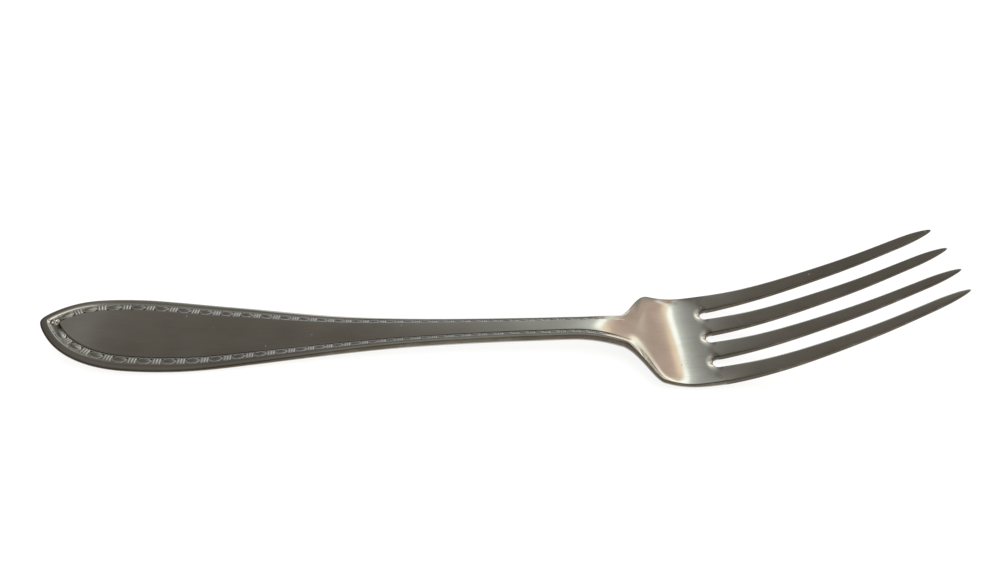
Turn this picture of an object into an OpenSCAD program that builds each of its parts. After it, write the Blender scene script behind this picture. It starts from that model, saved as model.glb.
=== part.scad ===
// Dessert fork with four tines, forged in one piece from a single blank.
// x runs along the fork, y across it and z up; it lies tines up on the plane z = 0.
// Each node is a length of that one blank, and neighbours meet on a plane square to x.

/* [Overall] */
// Length from the handle end to the tips of the two middle tines
overall_length = 184; // [165:1:215]
// Length of the head, from the start of the shoulders to the tips
head_length = 62; // [54:1:70]
// Depth of the flat worn under the head where it rests
wear_flat = 0.1; // [0.05:0.01:0.15]

/* [Handle] */
// Greatest width of the handle
handle_w = 19.7; // [16:0.1:24]
// Distance from the handle end to its greatest width
handle_end_length = 19.5; // [14:0.5:26]
// Share by which the handle end is narrower than a half ellipse, which draws it to a point
end_point = 0.4; // [0:0.05:0.5]
// Length over which the handle narrows to the neck
taper_length = 40; // [34:1:46]
// Thickness along the middle of the handle
handle_t = 1.9; // [1.5:0.1:2.6]
// Height of the upright edge round the handle
handle_edge_t = 0.5; // [0.35:0.05:0.9]
// Distance from the handle end to the place where the handle rests
rest_x = 31; // [24:1:40]
// Height by which the handle end curls up above that place
end_lift = 4.7; // [1:0.1:6]

/* [Border] */
// Width of the convex rim outside the border at the widest place
rim_w = 1.45; // [1.1:0.05:1.9]
// Width of that rim at the neck
neck_rim_w = 0.6; // [0.4:0.05:0.8]
// Width of the sunk border channel at the widest place
channel_w = 2; // [1.3:0.05:2.2]
// Width of that channel at the neck
neck_channel_w = 0.8; // [0.6:0.05:1]
// Depth of the channel below the panel
channel_depth = 0.3; // [0.15:0.05:0.4]
// Width of each sloping side of the channel
channel_wall_w = 0.15; // [0.1:0.05:0.25]
// Fall of the rim from the channel to the edge
rim_drop = 0.38; // [0.2:0.02:0.5]
// Crown of the long middle panel
panel_crown = 0.25; // [0.1:0.05:0.5]

/* [Neck] */
// Width of the neck where it is narrowest
neck_w = 5.3; // [4.4:0.1:6.5]
// Thickness of the neck
neck_t = 2.7; // [2.2:0.1:3.6]
// Height of the upright side of the neck
neck_edge_t = 1.5; // [1:0.05:1.8]
// Length of the neck, back from the shoulders
neck_length = 32; // [20:1:38]
// Height that the front gains from the resting place to the top of the arch
neck_rise = 4.8; // [3:0.1:7]
// Distance from the top of the arch to the shoulders
crest_setback = 7; // [5:0.5:10]
// Amount by which each side of the neck widens before the shoulders
neck_flare = 1.2; // [0.5:0.1:1.6]
// Length over which it widens, back from the shoulders
neck_flare_length = 10; // [7:0.5:14]

/* [Head] */
// Greatest width of the head
head_w = 24.4; // [21:0.1:27]
// Length over which the shoulders flare from the neck to the head
flare_length = 8; // [7:0.5:12]
// Distance from the start of the shoulders to the lowest place of the belly
belly_offset = 13; // [11:0.5:15]
// Distance from the start of the shoulders to the greatest width
head_widest_offset = 16; // [13:0.5:19]
// Rounding of the head's outline between the shoulders and its greatest width
shoulder_round = 0.3; // [0.1:0.05:0.6]
// Thickness of the palm
palm_t = 1.8; // [1.4:0.1:2.4]
// Height of the upright edge of the palm
palm_edge_t = 1.15; // [0.8:0.05:1.25]
// Height by which the edges of the shoulders curl up above their middle
shoulder_dish = 1.1; // [0.4:0.1:1.4]
// Depth of the crosswise dish in the palm
palm_dish = 0.7; // [0.2:0.05:1]
// Softening of the head's front edges
edge_round = 0.15; // [0.05:0.05:0.25]

/* [Tines] */
// Length of the tines, from the bottoms of the gaps to the tips
tine_length = 43; // [36:0.5:47]
// Width of the three gaps at their round bottoms
gap_w = 2.7; // [2.2:0.1:3.2]
// Width of the middle gap at the tips
gap_tip_w = 4.2; // [3.4:0.1:5]
// Width that a tine would have at its tip without that rounding
tine_tip_w = 1.8; // [1.4:0.1:2.4]
// Thickness of a tine at the gap bottoms, square to its slope
tine_t = 1.45; // [1.2:0.05:1.7]
// Thickness of a tine at its tip, square to its slope
tine_tip_t = 0.85; // [0.7:0.05:1.1]
// Rounding of the long edges of a tine
tine_edge_round = 0.3; // [0.1:0.05:0.35]
// Length over which the square root of a tine becomes round-edged
tine_blend_length = 8; // [4:1:12]
// Length over which a tine rounds off to its tip
tip_round_length = 5; // [3:0.5:7]
// Distance by which the two outer tines stop short
outer_setback = 0.8; // [0:0.1:2]
// Height of the front of the tips above the resting plane
tip_height = 27.3; // [20:0.1:32]
// Height by which the outer tines stand above the middle ones at the tips
tip_dish = 0.85; // [0:0.05:1.5]
// Amount by which each side of the head draws in towards the tips
side_draw = 2.85; // [1.5:0.05:3.5]

/* [Hidden] */

steel = "#9a968c";
dark_steel = "#7d786e";
half = 0.5;
// Number of tines
tines = 4;

// Places along the fork
shoulder_x = overall_length - head_length;
neck_x = shoulder_x - neck_length;
crest_x = shoulder_x - crest_setback;
belly_x = shoulder_x + belly_offset;
head_widest_x = shoulder_x + head_widest_offset;
gap_bottom_x = overall_length - tine_length;
tine_x = gap_bottom_x + gap_w * half;

// Share of the head's flat that is worn under the handle
handle_wear_share = 0.3;

// Heights of the middle of the front face
rest_z = handle_t - panel_crown - wear_flat * handle_wear_share;
belly_z = palm_t - wear_flat;
crest_z = rest_z + neck_rise;

// The side view as shares: place along each stretch, then height along it
end_curl_shares = [[0, 1], [0.15, 0.73], [0.38, 0.345], [0.7, 0.096], [1, 0]];
arch_shares = [[0.16, 0.1], [0.33, 0.26], [0.52, 0.51], [0.69, 0.71], [0.86, 0.89], [1, 1]];
shoulder_drop_shares = [[0.15, 0.03], [0.3, 0.13], [0.5, 0.41], [0.7, 0.77], [0.88, 0.96], [1, 1]];
tine_rise_shares = [[0.12, 0.035], [0.22, 0.09], [0.37, 0.208], [0.55, 0.394],
    [0.73, 0.61], [0.88, 0.825], [1, 1]];
// Power by which the pointed narrowing fades away from the handle end
end_point_share = 6.5;
// Power of the head outline from its widest place to the tips
side_draw_share = 1.6;
// Share of the shoulders' upward curl that the neck's edges already have
neck_dish_share = 0.2;
// Power of the widening of the neck before the shoulders
neck_flare_share = 1.6;
// Power of the hollow from the middle of the back to its edge
back_share = 2.4;
// Share of a tine's width that is left at the very tip
tip_end_share = 0.24;
// Share of the whole length over which a slope is taken
slope_share = 0.0005;
// How far across the panel, the palm and a tine the points of a section lie
panel_shares = [0.66, 0.33];
palm_shares = [1, 0.93, 0.8, 0.62, 0.42, 0.21];
tine_shares = [1, 0.62];

// Steps along each stretch
end_steps = 16;
handle_steps = 26;
neck_steps = 18;
head_steps = 28;
tine_steps = 24;
tip_steps = 6;
gap_facets = 48;

// Smooth curve through a table of [x, value], with slopes from the neighbouring stations
function slope(t, i) =
    i == 0 ? (t[1][1] - t[0][1]) / (t[1][0] - t[0][0])
    : i == len(t) - 1 ? (t[i][1] - t[i - 1][1]) / (t[i][0] - t[i - 1][0])
    : let (a = t[i][0] - t[i - 1][0], b = t[i + 1][0] - t[i][0],
           da = (t[i][1] - t[i - 1][1]) / a, db = (t[i + 1][1] - t[i][1]) / b)
      (da * b + db * a) / (a + b);
function span_of(t, x, i = 0) = i >= len(t) - 2 || x < t[i + 1][0] ? i : span_of(t, x, i + 1);
function curve(t, x) =
    let (i = span_of(t, x), h = t[i + 1][0] - t[i][0], u = (x - t[i][0]) / h,
         u2 = u * u, u3 = u2 * u)
    (2 * u3 - 3 * u2 + 1) * t[i][1] + (u3 - 2 * u2 + u) * h * slope(t, i)
    + (3 * u2 - 2 * u3) * t[i + 1][1] + (u3 - u2) * h * slope(t, i + 1);
function stretch(shares, x0, x1, v0, v1) =
    [for (s = shares) [x0 + s[0] * (x1 - x0), v0 + s[1] * (v1 - v0)]];
function clamp(u) = min(1, max(0, u));
function smooth(u) = let (c = clamp(u)) c * c * (3 - 2 * c);
function blend(a, b, u) = a + (b - a) * clamp(u);

// Side view: height of the middle of the front face
side_view = concat(
    stretch(end_curl_shares, 0, rest_x, rest_z, rest_z + end_lift),
    stretch(arch_shares, rest_x, crest_x, rest_z, crest_z),
    stretch(shoulder_drop_shares, crest_x, belly_x, crest_z, belly_z),
    stretch(tine_rise_shares, belly_x, overall_length, belly_z, tip_height));
function front_z(x) = curve(side_view, x);
step = overall_length * slope_share;
function steepness(x) = (front_z(x + step) - front_z(x - step)) / (step + step);
function lean(x) = sqrt(1 + pow(steepness(x), 2));

// Plan view: half the width of the outline
function handle_half(x) =
    x < handle_end_length
    ? let (u = 1 - x / handle_end_length)
      handle_w * half * sqrt(max(0, 1 - pow(u, 2))) * (1 - end_point * pow(u, end_point_share))
    : (neck_w + (handle_w - neck_w) * exp(-pow((x - handle_end_length) / taper_length, 2))) * half;
function neck_half(x) =
    handle_half(x)
    + neck_flare * pow(max(0, 1 - (shoulder_x - x) / neck_flare_length), neck_flare_share);
function head_half(x) =
    x < head_widest_x
    ? head_w * half - shoulder_round * pow((head_widest_x - x) / (head_widest_offset - flare_length), 2)
    : head_w * half
      - side_draw * pow((x - head_widest_x) / (overall_length - head_widest_x), side_draw_share);
function half_width(x) =
    let (u = smooth((x - shoulder_x) / flare_length))
    neck_half(x) * (1 - u) + head_half(max(x, shoulder_x + flare_length * half)) * u;

// How far out a place lies: 0 on the middle line, 1 on the outline or on the end's full ellipse
function outness(x, y) =
    x < handle_end_length
    ? sqrt(pow(1 - x / handle_end_length, 2) + pow(y / (handle_w * half), 2))
    : abs(y) / half_width(x);

// What changes along the fork, from the widest part of the handle to the neck, head and tines
function to_neck(x) = smooth((x - handle_end_length) / (neck_x - handle_end_length));
function to_head(x) = smooth((x - shoulder_x) / flare_length);
function to_tines(x) = smooth((x - belly_x) / (tine_x - belly_x));
function along(x, at_handle, at_neck, at_palm, at_tines) =
    blend(blend(blend(at_handle, at_neck, to_neck(x)), at_palm, to_head(x)), at_tines, to_tines(x));
function thickness(x) = along(x, handle_t, neck_t, palm_t, tine_t);
function edge_t(x) = along(x, handle_edge_t, neck_edge_t, palm_edge_t, tine_t);
function front_drop(x) = along(x, rim_drop, rim_drop, edge_round, 0);
function crown(x) = panel_crown * (1 - smooth((x - crest_x) / crest_setback));
function channel(x) = channel_depth * (1 - smooth((x - crest_x) / crest_setback));
function rim(x) = blend(rim_w, neck_rim_w, to_neck(x));
function channel_across(x) = blend(channel_w, neck_channel_w, to_neck(x));
dish_table = [[crest_x, 0], [shoulder_x, shoulder_dish * neck_dish_share],
    [shoulder_x + flare_length * half, shoulder_dish],
    [shoulder_x + flare_length, palm_dish],
    [gap_bottom_x, palm_dish * half], [overall_length, tip_dish]];
function dish(x) = x < crest_x ? 0 : curve(dish_table, x);

function front_at(x, y) =
    front_z(x) + crown(x) * (1 - pow(outness(x, y), 2)) + dish(x) * pow(outness(x, y), 2);
function back_at(x, y) =
    let (fall = thickness(x) - crown(x) - front_drop(x) - edge_t(x))
    front_z(x) + crown(x) - thickness(x) * lean(x)
    + (fall + dish(x)) * pow(outness(x, y), back_share);

// Handle and neck. Columns of a row lie at fixed distances in from the outline, then across
// the panel. The direction inwards turns square to x before the neck. Near the handle end the
// two sides meet on the middle line, and the columns that would cross it stop there.
function to_middle(x) =
    [(pow(half_width(x + step), 2) - pow(half_width(x), 2)) / (step + step), -half_width(x)];
function reach(x) = x < handle_end_length ? norm(to_middle(x)) : half_width(x);
function inward(x) =
    let (taper = (half_width(x) - half_width(x + step)) / step,
         n = x < handle_end_length ? to_middle(x) : [-taper * (1 - to_neck(x)), -1])
    n / norm(n);
function insets(x) =
    let (r = rim(x), c = channel_across(x), wall = channel_wall_w)
    [for (d = [0, r * half, r, r + wall, r + c - wall, r + c]) min(d, reach(x))];
function rim_fall(x, inset) = front_drop(x) * pow(max(0, 1 - inset / rim(x)), 2);
function border_fall(x, inset) =
    let (wall_middle = channel_wall_w * half)
    inset < rim(x) + wall_middle ? rim_fall(x, inset)
    : inset < rim(x) + channel_across(x) - wall_middle ? channel(x) : 0;
// A point of a row: [x, y, front height, back height]
function place(x, y, fall = 0) = [x, y, front_at(x, y) - fall, back_at(x, y)];
// Half a row of the handle or neck, from the outline to the middle line
function half_row(x) =
    let (insets = insets(x), n = inward(x), b = half_width(x),
         border = [for (d = insets) [x + d * n[0], d < reach(x) ? max(0, b + d * n[1]) : 0, d]],
         inner = border[len(border) - 1], fall = border_fall(x, inner[2]))
    concat(
        [for (p = border) place(p[0], p[1], border_fall(x, p[2]))],
        [for (s = concat(panel_shares, 0)) place(inner[0], inner[1] * s, fall)]);
// Half a row of the head, at shares of its half width
function palm_row(x) =
    let (b = half_width(x))
    concat([for (s = palm_shares) place(x, b * s, rim_fall(x, b * (1 - s)))], [place(x, 0)]);
function both_sides(r) =
    concat(r, [for (i = [len(r) - 2:-1:0]) [r[i][0], -r[i][1], r[i][2], r[i][3]]]);

// A closed slab from rows of [x, y, front, back]: two sheets, the walls and the end faces
function sheet(rows, k) = [for (r = rows) [for (p = r) [p[0], p[1], p[k]]]];
function flip(g) = [for (r = g) [for (i = [len(r) - 1:-1:0]) r[i]]];
function grid(g) =
    [for (i = [0:len(g) - 2], j = [0:len(g[0]) - 2],
          t = [[g[i][j], g[i + 1][j], g[i + 1][j + 1]], [g[i][j], g[i + 1][j + 1], g[i][j + 1]]])
        if (t[0] != t[1] && t[1] != t[2] && t[0] != t[2]) t];
module slab(rows) {
    f = sheet(rows, 2);
    b = sheet(rows, 3);
    n = len(rows) - 1;
    m = len(rows[0]) - 1;
    left = [for (i = [0:n]) [b[i][0], f[i][0]]];
    right = [for (i = [0:n]) [f[i][m], b[i][m]]];
    first = [f[0], b[0]];
    last = [b[n], f[n]];
    tris = concat(grid(f), grid(flip(b)), grid(left), grid(right),
        rows[0][0][1] > 0 ? grid(flip(first)) : [], grid(flip(last)));
    corners = [for (t = tris) each t];
    polyhedron(points = corners, faces = [for (i = [0:3:len(corners) - 1]) [i, i + 1, i + 2]]);
}
module on_table() {
    translate([-overall_length * half, 0, 0]) children();
}
module below_table() {
    translate([0, -head_w, -head_w]) cube([overall_length, head_w * 2, head_w]);
}

// Rows of the handle follow the round end by angle, then run evenly to the neck
handle_places = concat(
    [for (i = [0:end_steps - 1]) handle_end_length * (1 - cos(90 * i / end_steps))],
    [for (i = [0:handle_steps]) blend(handle_end_length, neck_x, i / handle_steps)]);
module handle() {
    color(dark_steel) on_table() difference() {
        slab([for (x = handle_places) both_sides(half_row(x))]);
        below_table();
    }
}
module neck() {
    places = [for (i = [0:neck_steps]) blend(neck_x, shoulder_x, i / neck_steps)];
    color(steel) on_table() slab([for (x = places) both_sides(half_row(x))]);
}

// One gap between two tines: a round bottom and a slot that runs out past the head
module gap(y) {
    translate([tine_x, y, -head_w]) linear_extrude(head_w * 2) {
        circle(d = gap_w, $fn = gap_facets);
        translate([0, -gap_w * half]) square([gap_w, gap_w]);
    }
}
tine_root_w = (half_width(tine_x) * 2 - gap_w * (tines - 1)) / tines;
gap_pitch = tine_root_w + gap_w;
module head() {
    places = [for (i = [0:head_steps]) blend(shoulder_x, tine_x, i / head_steps)];
    color(steel) on_table() difference() {
        slab([for (x = places) both_sides(palm_row(x))]);
        for (k = [-1:1]) gap(k * gap_pitch);
        below_table();
    }
}

// Tines. The middle pair leans out as the middle gap widens; the outer pair follows the head.
function to_tip(x) = (x - tine_x) / (overall_length - tine_x);
function tine_w(x) = blend(tine_root_w, tine_tip_w, to_tip(x));
function middle_y(x) = (blend(gap_w, gap_tip_w, to_tip(x)) + tine_w(x)) * half;
function outer_y(x) = half_width(x) - tine_w(x) * half;
function tine_row(x, outer, tip_x) =
    let (yc = outer ? outer_y(x) : middle_y(x),
         end = clamp(1 - (tip_x - x) / tip_round_length),
         keep = sqrt(1 - pow(end, 2) * (1 - pow(tip_end_share, 2))),
         w = tine_w(x) * half * keep,
         t = blend(tine_t, tine_tip_t, to_tip(x)) * lean(x) * (1 + keep) * half,
         r = tine_edge_round * clamp((x - tine_x) / tine_blend_length) * keep,
         sink = (1 - keep) * t * half,
         across = concat(tine_shares, [0], -tine_shares[1], -tine_shares[0]))
    [for (s = across)
        let (y = yc + w * s, z = front_z(x) + dish(x) * pow(y / half_width(x), 2) - sink,
             soft = abs(s) == 1 ? r : 0)
        [x, y, z - soft, z - t + soft]];
module tine(outer, side) {
    tip_x = overall_length - (outer ? outer_setback : 0);
    round_x = tip_x - tip_round_length;
    places = concat(
        [for (i = [0:tine_steps - 1]) blend(tine_x, round_x, i / tine_steps)],
        [for (i = [0:tip_steps]) round_x + tip_round_length * sin(90 * i / tip_steps)]);
    color(dark_steel) on_table() mirror([0, side < 0 ? 1 : 0, 0])
        slab([for (x = places) tine_row(x, outer, tip_x)]);
}
module tine_1() {
    tine(true, 1);
}
module tine_2() {
    tine(false, 1);
}
module tine_3() {
    tine(false, -1);
}
module tine_4() {
    tine(true, -1);
}

handle();
neck();
head();
tine_1();
tine_2();
tine_3();
tine_4();
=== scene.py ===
"""A four-tined dessert fork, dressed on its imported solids.

The fork's own surface is one seamless mesh worked out from the same side view, outline and
thicknesses as the solids. The border's beads and bars are two relief ribbons laid in the channel,
with a small rosette where they meet at the handle end.
All shape formulas work in millimetres, with x running from the handle end to the tips, and a mesh
gets its place in the frame, in metres, when it is made.
"""

import bpy
import numpy as np
from mathutils import Matrix, Vector


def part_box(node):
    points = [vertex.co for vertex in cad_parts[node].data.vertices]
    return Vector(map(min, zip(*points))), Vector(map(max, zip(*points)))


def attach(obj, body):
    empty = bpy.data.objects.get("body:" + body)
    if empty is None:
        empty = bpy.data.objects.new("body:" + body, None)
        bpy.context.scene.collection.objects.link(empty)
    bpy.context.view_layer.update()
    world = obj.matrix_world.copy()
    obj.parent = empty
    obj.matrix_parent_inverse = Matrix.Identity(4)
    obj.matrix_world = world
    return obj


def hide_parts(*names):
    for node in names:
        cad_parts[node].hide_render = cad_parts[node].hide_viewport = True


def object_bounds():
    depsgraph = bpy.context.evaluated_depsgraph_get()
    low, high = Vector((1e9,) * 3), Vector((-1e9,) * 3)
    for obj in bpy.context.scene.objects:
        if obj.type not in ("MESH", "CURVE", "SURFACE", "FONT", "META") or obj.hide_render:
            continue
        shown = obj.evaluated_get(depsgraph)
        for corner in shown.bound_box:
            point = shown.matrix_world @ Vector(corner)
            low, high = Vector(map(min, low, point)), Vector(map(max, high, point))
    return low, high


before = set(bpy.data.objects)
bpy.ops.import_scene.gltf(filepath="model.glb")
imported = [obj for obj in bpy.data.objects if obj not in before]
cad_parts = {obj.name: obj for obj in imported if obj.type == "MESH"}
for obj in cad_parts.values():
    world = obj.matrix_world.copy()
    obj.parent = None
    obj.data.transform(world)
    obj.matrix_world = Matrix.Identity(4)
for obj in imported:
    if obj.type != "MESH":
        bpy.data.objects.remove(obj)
cad_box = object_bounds()

# Sizes that the solids give, in millimetres
MM = 0.001
NODES = ("handle", "neck", "head", "tine_1", "tine_2", "tine_3", "tine_4")
box_low, box_high = (np.array(corner) / MM for corner in cad_box)
LENGTH = box_high[0] - box_low[0]


def station(node, end):
    """Distance from the handle end to a node's end: 0 for its start, 1 for its far end."""
    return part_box(node)[end][0] / MM - box_low[0]


NECK_X = station("neck", 0)
SHOULDER_X = station("head", 0)
TINE_X = station("tine_2", 0)
OUTER_SETBACK = LENGTH - station("tine_1", 1)
HANDLE_W = 2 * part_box("handle")[1][1] / MM
HEAD_W = 2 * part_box("head")[1][1] / MM

# Handle
HANDLE_END = 19.5
END_POINT = 0.4
END_POINT_POWER = 6.5
TAPER = 40
HANDLE_T = 1.9
HANDLE_EDGE_T = 0.5
REST_X = 31
END_LIFT = 4.7

# Border
RIM_W = 1.45
NECK_RIM_W = 0.6
CHANNEL_W = 2.0
NECK_CHANNEL_W = 0.8
CHANNEL_DEPTH = 0.3
CHANNEL_WALL_W = 0.28
RIM_DROP = 0.38
PANEL_CROWN = 0.25
BORDER_END = 125.0
# Painted dark reflection along the edges: the share of the rim, and the width on the head, over
# which the colour darkens in from the outline, then how dark the outer and tine walls are painted
EDGE_SHADE = 0.38
HEAD_EDGE_SHADE_W = 0.35
WALL_SHADE = 0.92
TINE_WALL_SHADE = 0.97

# Neck
NECK_W = 5.3
NECK_FLARE = 1.2
NECK_FLARE_LENGTH = 10
NECK_FLARE_POWER = 1.6
NECK_T = 2.7
NECK_EDGE_T = 1.5
NECK_RISE = 4.8
CREST_SETBACK = 7

# Head
FLARE = 8
BELLY_OFFSET = 13
WIDEST_OFFSET = 16
SHOULDER_ROUND = 0.3
PALM_T = 1.8
PALM_EDGE_T = 1.15
DISH_START = 0.2
SHOULDER_DISH = 1.1
PALM_DISH = 0.7
PALM_CROWN = 0.2
PALM_SQUARENESS = 6
EDGE_ROUND = 0.15
WEAR_FLAT = 0.1
HANDLE_WEAR = 0.03

# Tines
GAP_W = 2.7
GAP_TIP_W = 4.2
TINE_TIP_W = 1.8
TINE_T = 1.45
TINE_TIP_T = 0.85
TINE_EDGE_ROUND = 0.3
TIP_ROUND = 5
TIP_HEIGHT = 27.3
TIP_DISH = 0.85
SIDE_DRAW = 2.85
SIDE_DRAW_POWER = 1.6
GAP_BEVEL = 0.42
GAP_BEVEL_W = 1.6
GAP_BEVEL_POWER = 1.9
TINE_CROWN = 0.045
CROWN_SETBACK = 0.6
CROWN_ROUND = 1.9
CROWN_LENGTH = 1.6
# Width in from a tine's edge over which the colour is painted darker, a painted dark reflection
TINE_EDGE_SHADE_W = 0.2

# Edges and back
FRONT_EDGE_R = 0.12
BACK_EDGE_R = 0.2
EDGE_GROWTH = 8
BACK_POWER = 2.4

CREST_X = SHOULDER_X - CREST_SETBACK
BELLY_X = SHOULDER_X + BELLY_OFFSET
WIDEST_X = SHOULDER_X + WIDEST_OFFSET
GAP_BOTTOM_X = TINE_X - GAP_W / 2
REST_Z = HANDLE_T - PANEL_CROWN - HANDLE_WEAR
BELLY_Z = PALM_T - WEAR_FLAT
CREST_Z = REST_Z + NECK_RISE

# Start and length of the stretches where the palm's flat middle comes in and goes out again
PALM_IN = (SHOULDER_X + 2, 7)
PALM_OUT = (GAP_BOTTOM_X - 2, 8)

# Shares of the side view: place along each stretch, then height along it
END_CURL = ((0, 1), (0.15, 0.73), (0.38, 0.345), (0.7, 0.096), (1, 0))
ARCH = ((0.16, 0.1), (0.33, 0.26), (0.52, 0.51), (0.69, 0.71), (0.86, 0.89), (1, 1))
SHOULDER_DROP = ((0.15, 0.03), (0.3, 0.13), (0.5, 0.41), (0.7, 0.77), (0.88, 0.96), (1, 1))
TINE_RISE = ((0.12, 0.035), (0.22, 0.09), (0.37, 0.208), (0.55, 0.394), (0.73, 0.61),
             (0.88, 0.825), (1, 1))


# Curves
def stretch(shares, x0, x1, v0, v1):
    """Points of a table of shares, laid between two places and two values."""
    return [(x0 + s * (x1 - x0), v0 + v * (v1 - v0)) for s, v in shares]


def curve(table, x):
    """Smooth curve through (place, value) stations. Each stretch is a cubic whose end slopes are
    the length-weighted mean of the chords on either side."""
    px, pv = np.array(table, float).T
    step = np.diff(px)
    chord = np.diff(pv) / step
    inner = (chord[:-1] * step[1:] + chord[1:] * step[:-1]) / (step[:-1] + step[1:])
    slope = np.concatenate([chord[:1], inner, chord[-1:]])
    i = np.clip(np.searchsorted(px, x, side="right") - 1, 0, len(step) - 1)
    u = (x - px[i]) / step[i]
    return ((2 * u**3 - 3 * u**2 + 1) * pv[i] + (u**3 - 2 * u**2 + u) * step[i] * slope[i]
            + (3 * u**2 - 2 * u**3) * pv[i + 1] + (u**3 - u**2) * step[i] * slope[i + 1])


def smooth(u):
    """0 below 0, 1 above 1, and a soft step between."""
    u = np.clip(u, 0, 1)
    return u * u * (3 - 2 * u)


def soft_step(x, start, length):
    """The same step, from 0 at a place to 1 a length further on."""
    return smooth((x - start) / length)


def blend(a, b, u):
    """From a to b as u goes from 0 to 1, and no further."""
    return a + (b - a) * np.clip(u, 0, 1)


def quarter_round(inset, radius):
    """Fall of a rounded edge at a distance in from it: a quarter of a circle."""
    u = 1 - np.clip(inset / radius, 0, 1)
    return radius * (1 - np.sqrt(1 - u * u))


# Side view, with its small kinks eased so that reflections run smoothly
SIDE_VIEW = (stretch(END_CURL, 0, REST_X, REST_Z, REST_Z + END_LIFT)
             + stretch(ARCH, REST_X, CREST_X, REST_Z, CREST_Z)
             + stretch(SHOULDER_DROP, CREST_X, BELLY_X, CREST_Z, BELLY_Z)
             + stretch(TINE_RISE, BELLY_X, LENGTH, BELLY_Z, TIP_HEIGHT))
EASE = 1.4
EASE_STEPS = 50
FINE_STEP = 0.1
OVERRUN = 6
FINE_X = np.arange(-OVERRUN, LENGTH + OVERRUN, FINE_STEP)
ease_window = np.exp(-0.5 * (np.arange(-EASE_STEPS, EASE_STEPS + 1) * FINE_STEP / EASE) ** 2)
rough_z = np.pad(curve(SIDE_VIEW, FINE_X), EASE_STEPS, mode="reflect", reflect_type="odd")
FINE_Z = np.convolve(rough_z, ease_window / ease_window.sum(), mode="valid")

# Steps over which slopes are measured
SLOPE_STEP = 0.2
WIDTH_STEP = 0.05
END_STEP = 0.02


def front_z(x):
    """Height of the middle of the front face."""
    return np.interp(x, FINE_X, FINE_Z)


def steepness(x):
    """Slope of the front face along the fork."""
    return (front_z(x + SLOPE_STEP) - front_z(x - SLOPE_STEP)) / (2 * SLOPE_STEP)


def lean(x):
    """How much longer an upright cut through the slope is than a square one."""
    return np.sqrt(1 + steepness(x) ** 2)


# Shares of three stretches: 0 before the stretch, 1 after it
def to_neck(x):
    return soft_step(x, HANDLE_END, NECK_X - HANDLE_END)


def to_head(x):
    return soft_step(x, SHOULDER_X, FLARE)


def to_tines(x):
    return soft_step(x, BELLY_X, TINE_X - BELLY_X)


# Plan view
def handle_half(x):
    """Half width of the handle: a quarter ellipse drawn to a point, 1 - c u^p times as wide, with
    u = 1 at the end and 0 at the widest place, then a bell-shaped taper to the neck."""
    u = np.clip(1 - x / HANDLE_END, 0, 1)
    ellipse = np.sqrt(1 - u**2) * (1 - END_POINT * u**END_POINT_POWER) * HANDLE_W
    bell = NECK_W + (HANDLE_W - NECK_W) * np.exp(-((x - HANDLE_END) / TAPER) ** 2)
    return np.where(x < HANDLE_END, ellipse, bell) / 2


def neck_half(x):
    """Half width of the handle and neck, with the neck's slow widening before the shoulders."""
    share = np.clip(1 - (SHOULDER_X - x) / NECK_FLARE_LENGTH, 0, None)
    return handle_half(x) + NECK_FLARE * share**NECK_FLARE_POWER


def head_half(x):
    """Half width of the head: a parabola up to its widest place, then a slow draw to the tips."""
    before = SHOULDER_ROUND * ((WIDEST_X - x) / (WIDEST_OFFSET - FLARE)) ** 2
    after = SIDE_DRAW * (np.clip(x - WIDEST_X, 0, None) / (LENGTH - WIDEST_X)) ** SIDE_DRAW_POWER
    return HEAD_W / 2 - np.where(x < WIDEST_X, before, after)


def half_width(x):
    """Half width of the outline: the handle's, blended into the head's over the shoulders."""
    u = to_head(x)
    return neck_half(x) * (1 - u) + head_half(np.maximum(x, SHOULDER_X + FLARE / 2)) * u


def widening(x):
    """Growth of the half width along the fork."""
    return (half_width(x + WIDTH_STEP) - half_width(x)) / WIDTH_STEP


def outness(x, y):
    """How far out a place lies: 0 on the middle line, 1 on the outline or the end's full ellipse."""
    end = np.sqrt((1 - x / HANDLE_END) ** 2 + (y / (HANDLE_W / 2)) ** 2)
    return np.where(x < HANDLE_END, end, np.abs(y) / half_width(np.maximum(x, HANDLE_END)))


def along(x, at_handle, at_neck, at_palm, at_tines):
    """A size that changes along the fork, given at the handle, neck, palm and tines."""
    to_palm = blend(blend(at_handle, at_neck, to_neck(x)), at_palm, to_head(x))
    return blend(to_palm, at_tines, to_tines(x))


def thickness(x):
    """Thickness along the middle line, square to the front."""
    return along(x, HANDLE_T, NECK_T, PALM_T, TINE_T)


def edge_t(x):
    """Thickness that is left at the edges."""
    return along(x, HANDLE_EDGE_T, NECK_EDGE_T, PALM_EDGE_T, TINE_T)


def front_drop(x):
    """Depth of the front's edge below the line that the face would keep."""
    return along(x, RIM_DROP, RIM_DROP, EDGE_ROUND, 0)


def border_fade(x):
    """1 along the handle and neck, 0 once the border has run out into the palm."""
    return 1 - soft_step(x, CREST_X, BORDER_END - CREST_X)


def rim_w(x):
    """Width of the raised rim."""
    return blend(RIM_W, NECK_RIM_W, to_neck(x))


def channel_w(x):
    """Width of the sunk channel inside the rim."""
    return blend(CHANNEL_W, NECK_CHANNEL_W, to_neck(x))


def wall_w(x):
    """Width in plan of the channel's sloping sides."""
    return CHANNEL_WALL_W * channel_w(x) / CHANNEL_W


DISH = ((CREST_X, 0), (SHOULDER_X, DISH_START * SHOULDER_DISH),
        (SHOULDER_X + FLARE / 2, SHOULDER_DISH), (SHOULDER_X + FLARE, PALM_DISH),
        (GAP_BOTTOM_X, PALM_DISH / 2), (LENGTH, TIP_DISH))


def dish(x):
    """Height by which the edges of the head stand above its middle."""
    return np.where(x < CREST_X, 0, curve(DISH, np.maximum(x, CREST_X)))


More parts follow.
